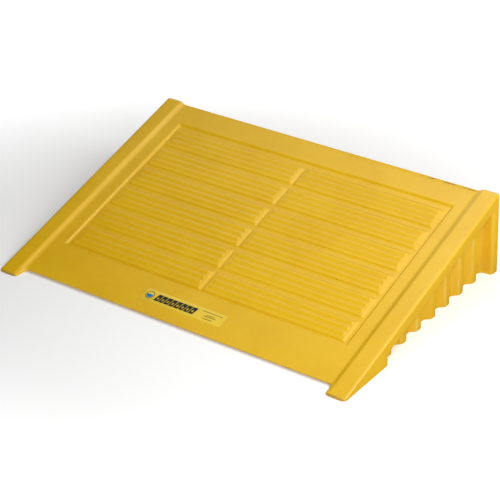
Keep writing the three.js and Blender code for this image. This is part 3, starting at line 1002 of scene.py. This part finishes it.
class RAMP_OT_label(bpy.types.Operator):
    """Lays the printed film on the deck's front strip"""
    bl_idname = "ramp.label"
    bl_label = "Label"

    def execute(self, context):
        bm = build_label(context.scene.ramp_sizes)
        finish_piece(bm, "label_film_sheet", label_film(), ["label"])
        return {"FINISHED"}


# ---- Stage --------------------------------------------------------------------------------

# Soft round lights: name, turn round the ramp, height in degrees, share of the power, and how
# much of it shows in the sheen
LIGHTS = [("side_high", 90, 60, 0.29, 0.1), ("side_low", 108, 38, 0.22, 0.6),
          ("front_right", 50, 33, 0.35, 0.6), ("front_low", 0, 12, 0.20, 0.5),
          ("back", 180, 60, 0.185, 1.0), ("back_left", 230, 53, 0.056, 1.0),
          ("back_low", 212, 13, 0.12, 1.0)]
LIGHT_DISTANCE = 3.0
LIGHT_SIZE = 1.6
LIGHT_AIM = (0.0, 0.0, 0.1)
FLOOR_RADIUS = 30.0
GLOW_RANGE = (0.7, 2.0)          # the floor's glow grows between these distances from the middle


def direction(turn, height):
    """Level turn from the ramp's front and height above the floor, as a unit vector."""
    return Vector((math.sin(turn) * math.cos(height), -math.cos(turn) * math.cos(height),
                   math.sin(height)))


def facing(way):
    return way.to_track_quat("-Z", "Y").to_euler()


def area_light(name, place, power, sheen):
    lamp = bpy.data.lights.new(name, "AREA")
    lamp.shape, lamp.size, lamp.energy, lamp.specular_factor = "DISK", LIGHT_SIZE, power, sheen
    light = bpy.data.objects.new(name, lamp)
    light.location = place
    light.rotation_euler = facing(Vector(LIGHT_AIM) - place)
    light.visible_camera = False
    bpy.context.scene.collection.objects.link(light)


def floor_paper(stage):
    """Pale paper that gives off a little light near the ramp and more all round."""
    paper = Shader("floor_paper")
    tone = paper.mix(paper.noise(0.8).ramp(0.3, 0.7) * 0.3, stage.floor,
                     tuple(part * 0.99 for part in stage.floor))
    glow = paper.mix(paper.length(paper.place).ramp(*GLOW_RANGE),
                     (stage.glow_near,) * 3, (stage.glow_far,) * 3)
    return paper.surface(Base_Color=tone, Roughness=0.9, Specular_IOR_Level=0.1,
                         Emission_Color=glow, Emission_Strength=1.0)


def build_floor(stage):
    bm = bmesh.new()
    bmesh.ops.create_circle(bm, cap_ends=True, segments=96, radius=FLOOR_RADIUS)
    mesh = bpy.data.meshes.new("floor")
    bm.to_mesh(mesh)
    bm.free()
    mesh.materials.append(floor_paper(stage))
    floor = bpy.data.objects.new("floor", mesh)
    bpy.context.scene.collection.objects.link(floor)
    floor.visible_glossy = False         # the ramp's sheen comes from the lights alone


def build_backdrop(stage):
    world = bpy.data.worlds.new("studio")
    world.use_nodes = True
    sky = world.node_tree.nodes["Background"]
    sky.inputs["Color"].default_value = (1.0, 1.0, 1.0, 1.0)
    sky.inputs["Strength"].default_value = stage.backdrop
    bpy.context.scene.world = world
    world.cycles_visibility.diffuse = False      # a backdrop that lights nothing
    world.cycles_visibility.glossy = False


def build_camera(stage):
    data = bpy.data.cameras.new("camera")
    data.lens, data.sensor_width = stage.lens, 36.0
    data.shift_x, data.shift_y = stage.shift
    camera = bpy.data.objects.new("camera", data)
    back = direction(stage.azimuth, stage.elevation)
    camera.location = Vector((0.0, 0.0, stage.aim)) + back * stage.distance
    camera.rotation_euler = facing(-back)
    bpy.context.scene.collection.objects.link(camera)
    bpy.context.scene.camera = camera


class RAMP_OT_stage(bpy.types.Operator):
    """Sets the pale floor, the soft lights and the camera"""
    bl_idname = "ramp.stage"
    bl_label = "Stage"

    def execute(self, context):
        stage = context.scene.ramp_stage
        build_floor(stage)
        build_backdrop(stage)
        for name, turn, height, share, sheen in LIGHTS:
            way = direction(math.radians(turn), math.radians(height))
            place = Vector(LIGHT_AIM) + way * LIGHT_DISTANCE
            area_light(name, place, stage.light_power * share, sheen)
        build_camera(stage)
        context.scene.view_settings.view_transform = "Standard"
        return {"FINISHED"}


OPERATORS = [RAMP_OT_top_skin, RAMP_OT_side_skins, RAMP_OT_back_wall, RAMP_OT_supports,
             RAMP_OT_label, RAMP_OT_stage]


class RAMP_PT_panel(bpy.types.Panel):
    """Lists what builds the ramp"""
    bl_label = "Loading Ramp"
    bl_idname = "RAMP_PT_panel"
    bl_space_type = "VIEW_3D"
    bl_region_type = "UI"
    bl_category = "Ramp"

    def draw(self, context):
        for operator in OPERATORS:
            self.layout.operator(operator.bl_idname)


SETTINGS = {"ramp_sizes": RampSizes, "ramp_finish": RampFinish, "ramp_stage": StageSettings}
CLASSES = [*SETTINGS.values(), *OPERATORS, RAMP_PT_panel]


def register():
    for cls in CLASSES:
        bpy.utils.register_class(cls)
    for name, group in SETTINGS.items():
        setattr(bpy.types.Scene, name, PointerProperty(type=group))


def unregister():
    for name in SETTINGS:
        delattr(bpy.types.Scene, name)
    for cls in reversed(CLASSES):
        bpy.utils.unregister_class(cls)


def main():
    register()
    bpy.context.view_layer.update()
    bpy.ops.ramp.top_skin()
    bpy.ops.ramp.side_skins()
    bpy.ops.ramp.back_wall()
    bpy.ops.ramp.supports()
    bpy.ops.ramp.label()
    bpy.ops.ramp.stage()


if __name__ == "__main__":
    main()
